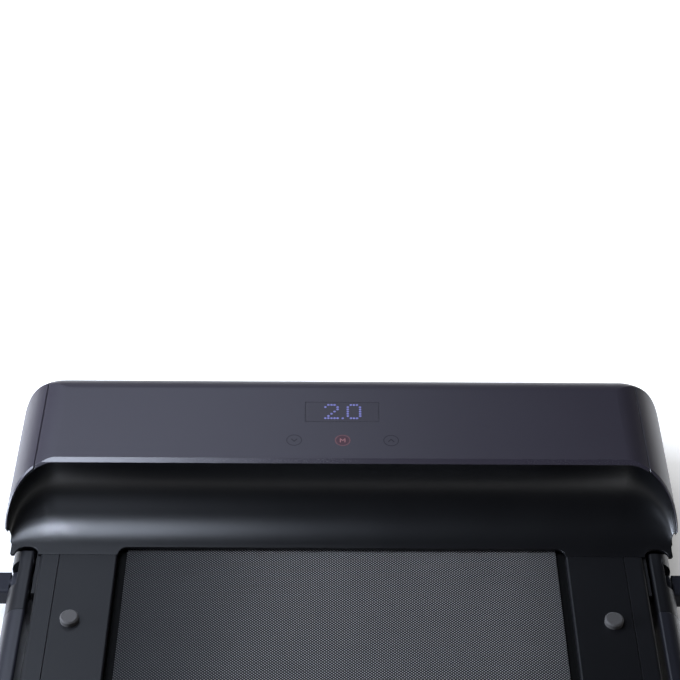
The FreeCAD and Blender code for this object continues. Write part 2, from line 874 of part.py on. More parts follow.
def motor():
    """The motor can in its cradle, and the rotor with its shaft and pulley."""
    centre = ("y_motor", "z_motor")
    bore = "shaft_radius + running"
    inside = "motor_radius - motor_wall"
    can = turned(
        "motor_can",
        centre,
        [
            ("-x_motor_out", bore),
            ("-x_motor_out", "motor_radius", "motor_wall"),
            ("-x_motor", "motor_radius", "motor_wall"),
            ("-x_motor", bore),
            ("-x_motor - motor_wall", bore),
            ("-x_motor - motor_wall", inside),
            ("-x_motor_out + motor_wall", inside),
            ("-x_motor_out + motor_wall", bore),
        ],
    )
    rotor = turned(
        "motor_rotor",
        centre,
        [
            ("-x_pulley - pulley_width", "0"),
            ("-x_pulley - pulley_width", "motor_pulley"),
            ("-x_pulley", "motor_pulley"),
            ("-x_pulley", "shaft_radius"),
            ("-x_motor_out + 3 * motor_wall", "shaft_radius"),
            ("-x_motor_out + 3 * motor_wall", "core_radius"),
            ("-x_motor - 3 * motor_wall", "core_radius"),
            ("-x_motor - 3 * motor_wall", "shaft_radius"),
            ("-x_motor + motor_wall", "shaft_radius"),
            ("-x_motor + motor_wall", "0"),
        ],
    )
    half = "2 * motor_radius / 3"
    depth = (f"y_motor - {half}", f"y_motor + {half}")
    saddles = []
    for place, left in enumerate(("-x_motor_out + motor_wall", "-x_motor - motor_wall - cradle_width")):
        span = (left, f"{left} + cradle_width")
        saddles.append(box(f"saddle_{place}", span, depth, ("z_pan", f"z_motor - motor_radius / 2")))
    plate = box("cradle_plate", ("-x_motor_out", "-x_motor"), depth, ("z_pan", "z_pan + 2 * motor_wall"))
    space = rod("cradle_space", "x", centre, ("-x_motor_out", "-x_motor"), "motor_radius")
    return [can, rotor, cut("motor_cradle", fuse("cradle_blank", plate, *saddles), space)]


def drive_belt():
    """The ribbed belt from the motor to the front roller: two arcs and their tangents."""
    wheels = [("y_roller", "z_roller", "pulley_radius"), ("y_motor", "z_motor", "motor_pulley")]
    inner = [[number(text) for text in wheel] for wheel in wheels]

    def band(extra):
        (first_y, first_z, first), (second_y, second_z, second) = inner
        rise = math.atan2(second_z - first_z, second_y - first_y)
        spread = math.acos((first - second) / math.hypot(second_y - first_y, second_z - first_z))

        def rim(wheel, angle):
            across, up, radius = wheel
            reach = radius + extra
            return FreeCAD.Vector(0, across + reach * math.cos(angle), up + reach * math.sin(angle))

        low, high = rise - spread, rise + spread
        edges = [
            Part.LineSegment(rim(inner[0], low), rim(inner[1], low)),
            Part.Arc(rim(inner[1], low), rim(inner[1], rise), rim(inner[1], high)),
            Part.LineSegment(rim(inner[1], high), rim(inner[0], high)),
            Part.Arc(rim(inner[0], high), rim(inner[0], rise + math.pi), rim(inner[0], low)),
        ]
        return Part.Face(Part.Wire([edge.toShape() for edge in edges]))

    slip = number("slip")
    ring = band(slip + number("drive_belt_wall")).cut(band(slip))
    belt = DOC.addObject("Part::Feature", "drive_belt")
    belt.Shape = ring.extrude(FreeCAD.Vector(number("drive_belt_width"), 0, 0)).Solids[0]
    start = "-x_pulley - (pulley_width + drive_belt_width) / 2"
    belt.Placement = FreeCAD.Placement(FreeCAD.Vector(number(start), 0, 0), FreeCAD.Rotation())
    return [belt]


def controller():
    """The motor controller on its posts, and the finned heat sink on it."""
    left, right = ("controller_place", "controller_place + controller_width")
    rear, front = ("y_motor - controller_depth / 2", "y_motor + controller_depth / 2")
    low = "z_pan + board_gap"
    high = f"{low} + circuit_wall"
    posts = []
    for x in (f"{left} + board_gap", f"{right} - board_gap"):
        for y in (f"{rear} + board_gap", f"{front} - board_gap"):
            posts.append(rod(f"controller_post_{len(posts)}", "z", (x, y), ("z_pan", low), "board_gap / 2"))
    board = fuse("controller_board", box("controller_sheet", (left, right), (rear, front), (low, high)), *posts)
    count = 7
    base = f"{high} + 2 * fin_wall"
    deep = (f"{rear} + board_gap", f"{front} - board_gap")
    wide = "controller_width / 2"
    fins = [box("sink_base", (left, f"{left} + {wide}"), deep, (high, base))]
    for place in range(count):
        start = f"{left} + {place} * ({wide} - fin_wall) / {count - 1}"
        fins.append(box(f"fin_{place}", (start, f"{start} + fin_wall"), deep, (high, f"{base} + fin_height")))
    return [board, fuse("heat_sink", *fins)]


def frame(name, rear, front, places, extras):
    """A frame of box beams with flat tubes across between them, and any plates: one solid each."""
    outer = box(f"{name}_beam_outer", ("x_beam", "x_beam_out"), (rear, front), ("z_pan", "z_beam"))
    inner = box(
        f"{name}_beam_inner",
        ("x_beam + beam_wall", "x_beam_out - beam_wall"),
        (f"{rear} - seam", f"{front} + seam"),
        ("z_pan + beam_wall", "z_beam - beam_wall"),
    )
    beam = cut(f"{name}_beam", outer, inner)
    members = []
    for place, middle in enumerate(places):
        label = f"{name}_member_{place}"
        sides = []
        for part, inset in (("outer", "0"), ("inner", "beam_wall")):
            reach = f"(member_width / 2 - {inset})"
            depth = (f"{middle} - {reach}", f"{middle} + {reach}")
            height = (f"z_member - member_height + {inset}", f"z_member - {inset}")
            sides.append(box(f"{label}_{part}", ("-x_beam", "x_beam"), depth, height))
        members.append(cut(label, *sides))
    return group(name, beam, mirror(f"{name}_beam_left", beam), *members, *extras)


def deck_half(side, near, far, frame_piece, tread_end, trim_end, board_end):
    """What both halves of the deck share, from the fold outwards: board, treads, trims and belly pan."""

    def span(start, end):
        return (start, end) if side == "rear" else (end, start)

    edge = "y_fold + fold_gap / 2" if side == "front" else "y_fold - fold_gap / 2"
    knuckle = "y_fold + hinge_setback" if side == "front" else "y_fold - hinge_setback"
    board = box(
        f"{side}_deck_board", ("-x_beam + seam", "x_beam - seam"), span(board_end, edge), ("z_member", "z_board")
    )
    outer_edge = "x_seam - seam / 2"
    tread = prism(
        f"{side}_tread_right",
        "XZ",
        [
            [
                ("x_rail", "z_board"),
                ("x_rail", "z_rail", "tread_wall / 2"),
                (outer_edge, "z_rail"),
                (outer_edge, "z_board"),
                (f"{outer_edge} - tread_wall", "z_board"),
                (f"{outer_edge} - tread_wall", "z_rail - tread_wall"),
                ("x_rail + tread_wall", "z_rail - tread_wall"),
                ("x_rail + tread_wall", "z_board"),
            ]
        ],
        span(tread_end, edge),
    )
    trim = prism(
        f"{side}_trim_right",
        "XZ",
        [
            [
                ("x_seam + seam / 2", "z_beam"),
                ("x_seam + seam / 2", "z_rail"),
                ("x_deck", "z_rail", "tread_wall"),
                ("x_deck", "z_pan"),
                ("x_beam_out", "z_pan"),
                ("x_beam_out", "z_beam"),
            ]
        ],
        span(trim_end, knuckle),
    )
    pan = box(
        f"{side}_belly_pan", ("-x_beam_out", "x_beam_out"), span(far, edge), ("foot_height", "z_pan")
    )
    feet = []
    for place, y in enumerate(near):
        foot = rod(f"{side}_foot_{place}", "z", ("x_bolt", y), ("rubber_bevel", "foot_height"), "foot_radius")
        tip = DOC.addObject("Part::Cone", f"{side}_foot_tip_{place}")
        bind(tip, "Radius1", "foot_radius - rubber_bevel")
        bind(tip, "Radius2", "foot_radius")
        bind(tip, "Height", "rubber_bevel")
        bind(tip, "Placement.Base.x", "x_bolt")
        bind(tip, "Placement.Base.y", y)
        whole = fuse(f"{side}_foot_whole_{place}", foot, tip)
        feet.extend([whole, mirror(f"{side}_foot_left_{place}", whole)])
    return [
        frame_piece,
        board,
        tread,
        mirror(f"{side}_tread_left", tread),
        trim,
        mirror(f"{side}_trim_left", trim),
        pan,
        group(f"{side}_feet", *feet),
    ]


def front_deck():
    """The front half of the deck, which stays on the floor and carries the housing."""
    start = "y_fold + hinge_setback"
    places = [f"{start} + member_width", f"({start} + y_foot) / 2", "y_lip - 2 * member_width"]
    body = frame("front_frame", start, "y_front - 2 * toe_chamfer", places, [])
    feet = ["y_fold + 4 * foot_radius", "y_foot - 4 * foot_radius", "y_front - 4 * foot_radius"]
    pieces = deck_half("front", feet, "y_tray", body, "y_lip - seam / 2", "y_lip - seam / 2", "y_foot")
    bumper = stud(
        "bumper",
        "x_rail + 2 * tread_width / 3",
        "y_foot - bumper_setback",
        ("z_rail", "z_rail + bumper_height"),
        "bumper_radius",
        "rubber_bevel",
    )
    return [*pieces, both_sides("fold_bumpers", bumper)]


def rear_deck():
    """The rear half of the deck, which folds over the front half, with its end cap and belt tensioners."""
    start = "y_fold - hinge_setback"
    plate_rear = "y_rear + guard_depth"
    height = ("z_roller - 2 * bolt_head", "z_roller + 2 * bolt_head")
    plate = box("tension_plate", ("x_rail + belt_gap", "x_beam"), (plate_rear, f"{plate_rear} + leaf_wall"), height)
    tab_end = "y_rear + rear_radius + member_width"
    tab = box("tension_tab", ("x_beam - leaf_wall", "x_beam"), (plate_rear, tab_end), height)
    hole = rod("tension_hole", "y", ("x_bolt", "z_roller"), ("y_rear", "y_cap"), "bolt_radius")
    drilled = cut("tension_bracket", fuse("tension_blank", plate, tab), hole)
    places = [f"{start} - member_width", f"({start} + y_cap) / 2", "y_cap + member_width"]
    body = frame(
        "rear_frame", "y_rear + rear_radius", start, places, [drilled, mirror("tension_bracket_left", drilled)]
    )
    feet = ["y_fold - 4 * foot_radius", "y_rear + 4 * foot_radius"]
    pieces = deck_half("rear", feet, "y_rear + guard_depth", body, "y_cap", "y_cap", "y_rear_roller + 2 * roller_radius")
    shank = rod(
        "bolt_shank", "y", ("x_bolt", "z_roller"), (plate_rear, "y_rear_roller - axle_radius"), "bolt_radius"
    )
    head = rod("bolt_cap", "y", ("x_bolt", "z_roller"), ("y_rear + cap_wall", plate_rear), "bolt_head")
    bolts = both_sides("tension_bolts", fuse("tension_bolt", shank, head))
    return [*pieces, bolts, rear_end_cap()]


def rear_end_cap():
    """The moulding across the rear end: a hollow cap over each end of the roller and a low guard between."""
    outline = [
        ("-x_deck", "y_cap"),
        ("-x_deck", "y_rear", "rear_radius"),
        ("x_deck", "y_rear", "rear_radius"),
        ("x_deck", "y_cap"),
        ("x_rail", "y_cap"),
        ("x_rail", "y_rear + guard_depth"),
        ("-x_rail", "y_rear + guard_depth"),
        ("-x_rail", "y_cap"),
    ]
    blank = prism("end_cap_blank", "XY", [outline], ("z_pan", "z_rail"))
    over_guard = box(
        "over_guard", ("-x_rail", "x_rail"), ("y_rear - seam", "y_cap"), ("z_roller + guard_rise", "z_rail + seam")
    )
    hollow = prism(
        "cap_hollow",
        "XY",
        [
            [
                ("x_rail - seam", "y_cap + seam"),
                ("x_rail - seam", "y_rear + cap_wall"),
                ("x_beam_out", "y_rear + cap_wall", "rear_radius - cap_wall"),
                ("x_beam_out", "y_cap + seam"),
            ]
        ],
        ("z_pan - seam", "z_rail - cap_wall"),
    )
    hole = rod("bolt_hole", "y", ("x_bolt", "z_roller"), ("y_rear - seam", "y_cap"), "bolt_head + slip")
    tools = (hollow, mirror("cap_hollow_left", hollow), hole, mirror("bolt_hole_left", hole))
    return cut("rear_end_cap", blank, over_guard, *tools)


def fold_hinge():
    """Two hinges on the ends of the beams: leaves with interleaved knuckles, and a pin through each."""
    third = "beam_width / 3"
    outer = [("x_beam", f"x_beam + {third} - slip / 2"), (f"x_beam_out - {third} + slip / 2", "x_beam_out")]
    inner = [(f"x_beam + {third} + slip / 2", f"x_beam_out - {third} - slip / 2")]
    leaves = []
    for side, sign, spans, bore in (("front", 1, outer, "hinge_pin"), ("rear", -1, inner, "hinge_pin + running")):

        def away(distance):
            return f"y_fold + {sign} * ({distance})"

        def span(start, end):
            return (away(start), away(end)) if sign > 0 else (away(end), away(start))

        plate = box(
            f"{side}_leaf_plate",
            ("x_beam", "x_beam_out"),
            span("hinge_setback - leaf_wall", "hinge_setback"),
            ("z_beam - leaf_height", "z_beam"),
        )
        knuckles = []
        for place, across in enumerate(spans):
            name = f"{side}_knuckle_{place}"
            knuckles.append(rod(name, "x", ("y_fold", "z_fold"), across, "knuckle_radius"))
            web = (across, span("0", "hinge_setback"), ("z_fold - knuckle_radius", "z_fold"))
            knuckles.append(box(f"{name}_web", *web))
        pin_space = rod(f"{side}_pin_space", "x", ("y_fold", "z_fold"), ("x_beam - seam", "x_beam_out + seam"), bore)
        leaf = cut(f"{side}_leaf", fuse(f"{side}_leaf_blank", plate, *knuckles), pin_space)
        leaves.append(both_sides(f"{side}_hinge_leaves", leaf))
    reach = ("x_beam - hinge_pin / 2", "x_beam_out + hinge_pin / 2")
    pin = rod("hinge_pin_right", "x", ("y_fold", "z_fold"), reach, "hinge_pin")
    return [*leaves, both_sides("hinge_pins", pin)]


def arm_section(inset):
    """The handrail's section: flat towards the deck, rounded outside, drawn in by inset."""
    low, high = f"z_arm_low + {inset}", f"z_arm_top - {inset}"
    inner, outer = f"x_arm + {inset}", f"x_arm_out - {inset}"
    edge = f"arm_edge - {inset}"
    return [
        (inner, low, edge),
        (outer, low, f"arm_keel - {inset}"),
        (outer, high, f"arm_crown - {inset}"),
        (inner, high, edge),
    ]


def handrail():
    """The U-shaped handrail: hubs on the pivots, tubes, corner castings, crossbar and soft grips."""

    def behind(radius, drop):
        return f"sqrt(({radius}) ^ 2 - ({drop}) ^ 2)"

    profile = [
        (f"y_pivot + {behind('hub_radius', 'arm_fall')}", "z_arm_low"),
        Bow("y_pivot + hub_radius", "pivot_height", "hub_radius", 1),
        Bow(f"y_pivot + {behind('hub_radius', 'arm_rise')}", "z_arm_top", "hub_radius", 1),
        (f"y_pivot - {behind('seam_radius', 'arm_rise')}", "z_arm_top"),
        Bow("y_pivot - seam_radius", "pivot_height", "seam_radius", 1),
        Bow(f"y_pivot - {behind('seam_radius', 'arm_fall')}", "z_arm_low", "seam_radius", 1),
    ]
    reach = ("y_pivot - seam_radius", "y_pivot + hub_radius")
    blank = common(
        "hub_blank",
        prism("hub_section", "XZ", [arm_section("0")], reach),
        prism("hub_profile", "YZ", [profile], ("x_arm", "x_arm_out")),
    )
    pivot = ("y_pivot", "pivot_height")
    wide = "knob_disc + 2 * seam"
    outside = ("x_recess", "x_arm_out + seam")
    bore = rod("hub_bore", "x", pivot, ("x_arm - seam", "x_arm_out"), "pin_radius + running")
    well = rod("hub_well", "x", pivot, outside, wide)
    slot = box("hub_slot", outside, (f"y_pivot - ({wide})", f"y_pivot + {wide}"), ("pivot_height", "z_arm_top + seam"))
    spigot = box(
        "hub_spigot",
        ("x_arm + tube_wall + slip", "x_arm_out - arm_crown / 2"),
        ("y_pivot - 3 * seam_radius / 2", "y_pivot - seam_radius + arm_edge"),
        ("z_arm_low + arm_keel / 2", "z_arm_top - arm_crown / 2"),
    )
    hub = fuse("handrail_hub_right", cut("hub_drilled", blank, bore, well, slot), spigot)
    tube = prism(
        "arm_tube",
        "XZ",
        [arm_section("0"), arm_section("tube_wall")],
        ("y_corner", "y_pivot - seam_radius / 2"),
    )
    arm = cut("handrail_arm_right", tube, rod("hub_space", "x", pivot, ("x_arm", "x_arm_out"), "seam_radius + seam"))
    corner = handrail_corner()
    ends = ("y_bar", "z_bar")
    bar = turned(
        "handrail_crossbar",
        ends,
        [
            ("-x_corner", "bar_radius - tube_wall"),
            ("-x_corner", "bar_radius"),
            ("x_corner", "bar_radius"),
            ("x_corner", "bar_radius - tube_wall"),
        ],
    )
    outer = "x_corner - grip_inset"
    bore = "bar_radius + running"
    grip = turned(
        "grip_right",
        ends,
        [
            (f"{outer} - grip_length", bore),
            (f"{outer} - grip_length", "grip_radius", "arm_edge"),
            (outer, "grip_radius", "arm_edge"),
            (outer, bore),
        ],
    )
    pairs = [(hub, "handrail_hub_left"), (arm, "handrail_arm_left"), (corner, "handrail_corner_left")]
    pairs.append((grip, "grip_left"))
    return [bar, *(piece for piece, name in pairs), *(mirror(name, piece) for piece, name in pairs)]


def handrail_corner():
    """The casting that turns the right arm into the crossbar."""
    front = "y_bar + grip_radius"
    body = prism(
        "handrail_corner_right",
        "XY",
        [
            [
                ("x_arm", "y_corner"),
                ("x_arm", front, "arm_crown"),
                ("x_corner", front),
                ("x_corner", "y_bar - grip_radius"),
                ("x_arm_out", "y_bar - grip_radius", "corner_radius"),
                ("x_arm_out", "y_corner"),
            ]
        ],
        ("z_arm_low", "z_arm_top"),
    )
    ends = (number("x_corner"), number("y_corner"))

    def rim(edge):
        middle = edge.BoundBox
        flat = middle.ZLength < 1e-6
        joint = abs(middle.Center.x - ends[0]) < 1e-6 or abs(middle.Center.y - ends[1]) < 1e-6
        return flat and not joint

    return round_edges(body, "arm_keel", rim)


def pivots():
    """What holds the handrail to the deck: a bossed bracket on each side with a pin through it."""
    centre = ("y_pivot", "pivot_height")
    plate = box(
        "bracket_plate",
        ("x_deck", "x_deck + bracket_wall"),
        ("y_pivot - bracket_length / 2", "y_pivot + bracket_length / 2"),
        ("z_pan", "z_beam"),
    )
    boss = rod("bracket_boss", "x", centre, ("x_deck + bracket_wall", "x_arm - slip"), "washer_radius")
    bore = rod("bracket_bore", "x", centre, ("x_deck - seam", "x_arm"), "pin_radius")
    pin = rod("pivot_pin_right", "x", centre, ("x_deck", "x_recess + knob_recess / 2"), "pin_radius")
    bracket = cut("pivot_bracket", fuse("bracket_blank", plate, boss), bore)
    return [both_sides("pivot_brackets", bracket), both_sides("pivot_pins", pin)]


def knobs():
    """The clamp knobs: a disc in the hub's recess on the pin's end, and a wing to turn it by."""
    disc_in, disc_out = ("x_recess + 2 * slip", "x_recess + 3 * knob_recess / 4")
    bore = "pin_radius + running"
    bore_end = "x_recess + knob_recess / 2 + slip"
    neck_end = "x_arm_out + 3 * seam"
    core = turned(
        "knob_core",
        ("y_pivot", "pivot_height"),
        [
            (disc_in, bore),
            (disc_in, "knob_disc", "knob_recess / 6"),
            (disc_out, "knob_disc", "knob_recess / 6"),
            (disc_out, "knob_neck"),
            (neck_end, "knob_neck"),
            (neck_end, "0"),
            (bore_end, "0"),
            (bore_end, bore),
        ],
    )
    rear, front = ("y_pivot - wing_length / 2", "y_pivot + wing_length / 2")
    wing_in = "x_arm_out + seam"
    wing = prism(
        "knob_wing",
        "XY",
        [
            [
                (wing_in, rear),
                ("x_knob", rear, "wing_round"),
                ("x_knob", front, "wing_round"),
                (wing_in, front),
            ]
        ],
        ("pivot_height - wing_height / 2 - wing_drop", "pivot_height + wing_height / 2"),
    )
    inside = number(wing_in)

    def rim(edge):
        return edge.BoundBox.ZLength < 1e-6 and abs(edge.BoundBox.Center.x - inside) > 1e-6

    right = fuse("knob_right", core, round_edges(wing, "wing_height / 5", rim))
    return [right, mirror("knob_left", right)]


def check(pieces):
    """Stops the build if any object failed or any sub-part has no sound solid."""
    faults = [item.Label for item in DOC.Objects if {"Invalid", "Error"} & set(item.State)]
    for piece in pieces:
        shape = piece.Shape
        if shape.isNull() or not shape.isValid() or not shape.Solids:
            faults.append(piece.Label)
    if faults:
        raise RuntimeError("failed: " + ", ".join(faults))


def main():
    pieces = [
        *housing_cover(),
        *display(),
        *cove_panel(),
        *base_pan(),
        *transport_wheels(),
        *power_socket(),
        *walking_belt(),
        *rollers(),
        *motor(),
        *drive_belt(),
        *controller(),
        *front_deck(),
        *rear_deck(),
        *fold_hinge(),
        *handrail(),
        *pivots(),
        *knobs(),
    ]
    DOC.recompute()
    check(pieces)
    os.makedirs("parts", exist_ok=True)
    for piece in pieces:
        piece.Shape.exportStep(f"parts/{piece.Label}.step")
    print(len(pieces), "sub-parts")


main()
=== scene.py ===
import json
import math

import bmesh
import bpy
from mathutils import Matrix, Vector, noise


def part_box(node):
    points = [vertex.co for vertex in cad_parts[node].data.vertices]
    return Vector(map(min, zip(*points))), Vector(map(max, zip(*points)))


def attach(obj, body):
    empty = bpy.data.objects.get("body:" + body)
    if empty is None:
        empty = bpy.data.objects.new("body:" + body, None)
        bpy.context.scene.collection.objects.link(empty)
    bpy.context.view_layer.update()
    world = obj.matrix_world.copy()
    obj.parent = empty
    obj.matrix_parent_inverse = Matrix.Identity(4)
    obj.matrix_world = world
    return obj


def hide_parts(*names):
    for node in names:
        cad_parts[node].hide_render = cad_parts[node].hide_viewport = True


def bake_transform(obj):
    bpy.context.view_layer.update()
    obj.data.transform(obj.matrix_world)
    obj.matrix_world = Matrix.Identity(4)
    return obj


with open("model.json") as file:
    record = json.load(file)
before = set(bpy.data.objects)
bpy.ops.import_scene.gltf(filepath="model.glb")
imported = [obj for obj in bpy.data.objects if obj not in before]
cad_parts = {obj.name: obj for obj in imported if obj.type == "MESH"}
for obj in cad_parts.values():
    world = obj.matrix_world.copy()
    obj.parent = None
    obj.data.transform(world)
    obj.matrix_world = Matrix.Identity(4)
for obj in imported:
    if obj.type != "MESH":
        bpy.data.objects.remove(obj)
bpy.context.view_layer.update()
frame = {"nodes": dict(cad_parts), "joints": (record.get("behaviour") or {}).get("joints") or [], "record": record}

NODES = frame["nodes"]
JOINTS = {joint["name"]: joint for joint in frame["joints"]}
SIDES = ("left", "right")
MM = 0.001

# Places taken from the frame. The foot line is where the cove panel ends over the belt.
LENS_LOW, LENS_HIGH = (Vector(corner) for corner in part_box("display_lens"))
BELT_LOW, BELT_HIGH = (Vector(corner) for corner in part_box("walking_belt"))
COVER_TOP = Vector(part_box("top_cover")[1]).z
FOLD = Vector(JOINTS["deck_fold"]["pos_m"])
PIVOT = Vector(JOINTS["handrail_fold"]["pos_m"])
PIVOT_SETBACK = 31 * MM
FOOT_LINE = PIVOT.y + PIVOT_SETBACK
LENS_MIDDLE = (LENS_LOW + LENS_HIGH) / 2

# The printed and lit marks are sunk into the cover by a hair, and stand proud of it by another.
MARK_LOW, MARK_HIGH = COVER_TOP - 0.02 * MM, COVER_TOP + 0.06 * MM
KEYS_Y = FOOT_LINE + 91.2 * MM
KEY_STROKE = 0.55 * MM

# Rows of dots of the lit figures, the far row first.
DOTS = {
    "2": ["01110", "10001", "00001", "00010", "00100", "01000", "11111"],
    "0": ["01110", "10001", "10001", "10001", "10001", "10001", "01110"],
}

# The backdrop's wall, in metres.
WALL = 6.0


class Surface:
    """A material's node tree, with short ways to add and join its nodes."""

    def __init__(self, name, colour, roughness, **sockets):
        self.material = bpy.data.materials.new(name)
        self.material.use_nodes = True
        self.tree = self.material.node_tree
        self.shader = self.tree.nodes["Principled BSDF"]
        self.shader.inputs["Base Color"].default_value = (*colour, 1.0)
        self.shader.inputs["Roughness"].default_value = roughness
        for socket, value in sockets.items():
            self.shader.inputs[socket.replace("_", " ")].default_value = value
        self.coordinates = self.tree.nodes.new("ShaderNodeTexCoord").outputs
        self.place = self.coordinates["Object"]

    def node(self, kind, inputs=(), **settings):
        """A new node with its settings, and a value or another node's output on each named input."""
        new = self.tree.nodes.new("ShaderNode" + kind)
        for setting, value in settings.items():
            setattr(new, setting, value)
        for socket, value in dict(inputs).items():
            self.feed(new.inputs[socket], value)
        return new.outputs

    def feed(self, socket, value):
        if isinstance(value, bpy.types.NodeSocket):
            self.tree.links.new(value, socket)
        else:
            socket.default_value = value

    def math(self, operation, first, second=0.0):
        return self.node("Math", {0: first, 1: second}, operation=operation)[0]

    def product(self, first, *others):
        for other in others:
            first = self.math("MULTIPLY", first, other)
        return first

    def noise(self, scale, detail=2.0, roughness=0.5, stretch=(1, 1, 1)):
        place = self.node("Mapping", {"Vector": self.place, "Scale": stretch})[0]
        inputs = {"Vector": place, "Scale": scale, "Detail": detail, "Roughness": roughness}
        return self.node("TexNoise", inputs)[0]

    def spread(self, value, low, high, start=0.0, end=1.0, **settings):
        """A value that runs from start to end, spread over another range."""
        inputs = {"Value": value, "From Min": start, "From Max": end, "To Min": low, "To Max": high}
        return self.node("MapRange", inputs, **settings)[0]

    def parts(self, vector):
        """The three parts of a vector."""
        return self.node("SeparateXYZ", {0: vector})

    def colour_between(self, value, first, second):
        mix = self.tree.nodes.new("ShaderNodeMix")
        mix.data_type = "RGBA"
        self.feed(mix.inputs[0], value)
        for socket, colour in zip(mix.inputs[6:8], (first, second)):
            self.feed(socket, colour if isinstance(colour, bpy.types.NodeSocket) else (*colour, 1.0))
        return mix.outputs[2]

    def rounded(self, radius):
        """A normal that rounds the edges of a moulding by that radius."""
        return self.node("Bevel", {"Radius": radius}, samples=4)[0]

    def bump(self, height, depth, strength=1.0, below=None):
        """A bump of that depth in metres, over another normal if one is given."""
        inputs = {"Height": height, "Distance": depth, "Strength": strength}
        if below is not None:
            inputs["Normal"] = below
        return self.node("Bump", inputs)[0]

    def seen_directly(self):
        """1 for a ray from the camera, or one mirrored or bent on its way to it."""
        rays = self.node("LightPath")
        total = rays["Is Camera Ray"]
        for kind in ("Is Glossy Ray", "Is Transmission Ray"):
            total = self.math("MAXIMUM", total, rays[kind])
        return total

    def use(self, **outputs):
        for socket, value in outputs.items():
            self.feed(self.shader.inputs[socket.replace("_", " ")], value)
        return self.material


def shaded(colour, factor, lift=0.0):
    """A colour made darker or paler."""
    return tuple(min(1.0, part * factor + lift) for part in colour)


def moulded(name, colour, roughness, grain=0.25, edge=0.6, rim=None, **sockets):
    """Injection-moulded plastic with a fine grain, an uneven sheen and edges softened by some tenths of a mm.

    The rim is the roughness of faces that look to the rear, where the mould was polished.
    """
    surface = Surface(name, colour, roughness, **sockets)
    cloudy = surface.noise(scale=7.0, detail=4.0, roughness=0.6)
    fine = surface.noise(scale=1500.0, detail=1.0)
    cloud_share, grain_share = 0.08, 0.05
    sheen = surface.math("ADD", surface.product(cloudy, cloud_share), surface.product(fine, grain_share))
    average_sheen = (cloud_share + grain_share) / 2
    level = roughness - average_sheen
    if rim is not None:
        facing_rear = surface.math("LESS_THAN", surface.parts(surface.coordinates["Normal"])["Y"], -0.2)
        level = surface.spread(facing_rear, level, rim - average_sheen)
    pale = shaded(colour, 1.18, 0.001)
    return surface.use(
        Base_Color=surface.colour_between(surface.spread(cloudy, 0.0, 0.6), colour, pale),
        Roughness=surface.math("ADD", sheen, level),
        Normal=surface.bump(fine, grain * 0.1 * MM, below=surface.rounded(edge * MM)),
    )


def belt_cloth():
    """A walking belt's face: a fine twill of raised grey dots over black, with painted shade that darkens its left
    half towards the left edge and its right edge a little.
    """
    pitch_across, pitch_along = 3.5 * MM, 3.1 * MM
    black, grey = (0.002, 0.002, 0.003), (0.78, 0.772, 0.762)
    half = BELT_HIGH.x
    # Painted shade: the cloth is darkened over its left half towards the left edge, down to 0.22, and over the
    # outer part of its right half, down to 0.85.
    painted_shade_sides = ((-half, 0.0, 0.22), (half, 0.7 * half, 0.85))
    surface = Surface("belt_cloth", (0.05, 0.05, 0.052), 0.62, Specular_IOR_Level=0.3)
    across, along, _ = surface.parts(surface.coordinates["UV"])
    column = surface.product(across, 2 * math.pi / pitch_across)
    row = surface.product(along, 2 * math.pi / pitch_along)
    twill = surface.math("SINE", surface.math("SUBTRACT", column, row))
    weft = surface.math("SINE", surface.math("ADD", column, row))
    weave = surface.math("ADD", surface.product(twill, 0.29), surface.product(weft, 0.21))
    raised = surface.math("POWER", surface.math("ADD", weave, 0.5), 6.0)
    patchy = surface.spread(surface.noise(scale=9.0, detail=3.0), 0.85, 1.15)
    # Painted shade: one darkening factor for each side of the belt.
    painted_shade = [
        surface.spread(across, level, 1.0, edge, shade_end, interpolation_type="SMOOTHSTEP")
        for edge, shade_end, level in painted_shade_sides
    ]
    return surface.use(
        Base_Color=surface.colour_between(surface.product(raised, patchy, *painted_shade), black, grey),
        Normal=surface.bump(raised, 0.3 * MM, strength=0.5),
    )


def metal(name, colour, roughness):
    """Machined or plated metal with fine tool marks."""
    surface = Surface(name, colour, roughness, Metallic=1.0)
    marks = surface.noise(scale=120.0, detail=3.0, roughness=0.6, stretch=(1, 1, 60))
    return surface.use(
        Roughness=surface.spread(marks, roughness - 0.08, roughness + 0.10),
        Normal=surface.bump(marks, 0.02 * MM, below=surface.rounded(0.4 * MM)),
    )


def painted(name, colour, roughness, coat=0.15):
    """Powder coat or lacquer with a slight orange peel."""
    surface = Surface(name, colour, roughness, Coat_Weight=coat, Coat_Roughness=0.3)
    peel = surface.noise(scale=450.0, detail=2.0)
    cloudy = surface.noise(scale=6.0, detail=3.0)
    return surface.use(
        Base_Color=surface.colour_between(cloudy, shaded(colour, 0.8), colour),
        Roughness=surface.spread(cloudy, roughness - 0.05, roughness + 0.07),
        Normal=surface.bump(peel, 0.03 * MM, below=surface.rounded(0.6 * MM)),
    )


def rubber(name, colour, roughness=0.75, pores=400.0, depth=0.08):
    """Matt rubber or foam with open pores and a dusty bloom."""
    surface = Surface(name, colour, roughness, Sheen_Weight=0.15, Sheen_Roughness=0.4)
    cells = surface.noise(scale=pores, detail=2.0, roughness=0.7)
    bloom = surface.spread(surface.noise(scale=14.0, detail=4.0), 0.1, 0.8)
    return surface.use(
        Base_Color=surface.colour_between(bloom, colour, shaded(colour, 1.4, 0.004)),
        Roughness=surface.spread(cells, roughness - 0.1, roughness + 0.1),
        Normal=surface.bump(cells, depth * MM, below=surface.rounded(0.6 * MM)),
    )


def circuit_board():
    """Solder mask over copper tracks."""
    mask, mask_on_copper = (0.012, 0.075, 0.035), (0.03, 0.14, 0.06)
    surface = Surface("circuit", mask, 0.4)
    place = surface.node("Mapping", {"Vector": surface.place, "Scale": (260, 260, 260)})[0]
    tracks = surface.node("TexBrick", {"Vector": place, "Scale": 1.0, "Mortar Size": 0.12})[0]
    return surface.use(
        Base_Color=surface.colour_between(tracks, mask, mask_on_copper),
        Normal=surface.bump(tracks, 0.04 * MM),
    )


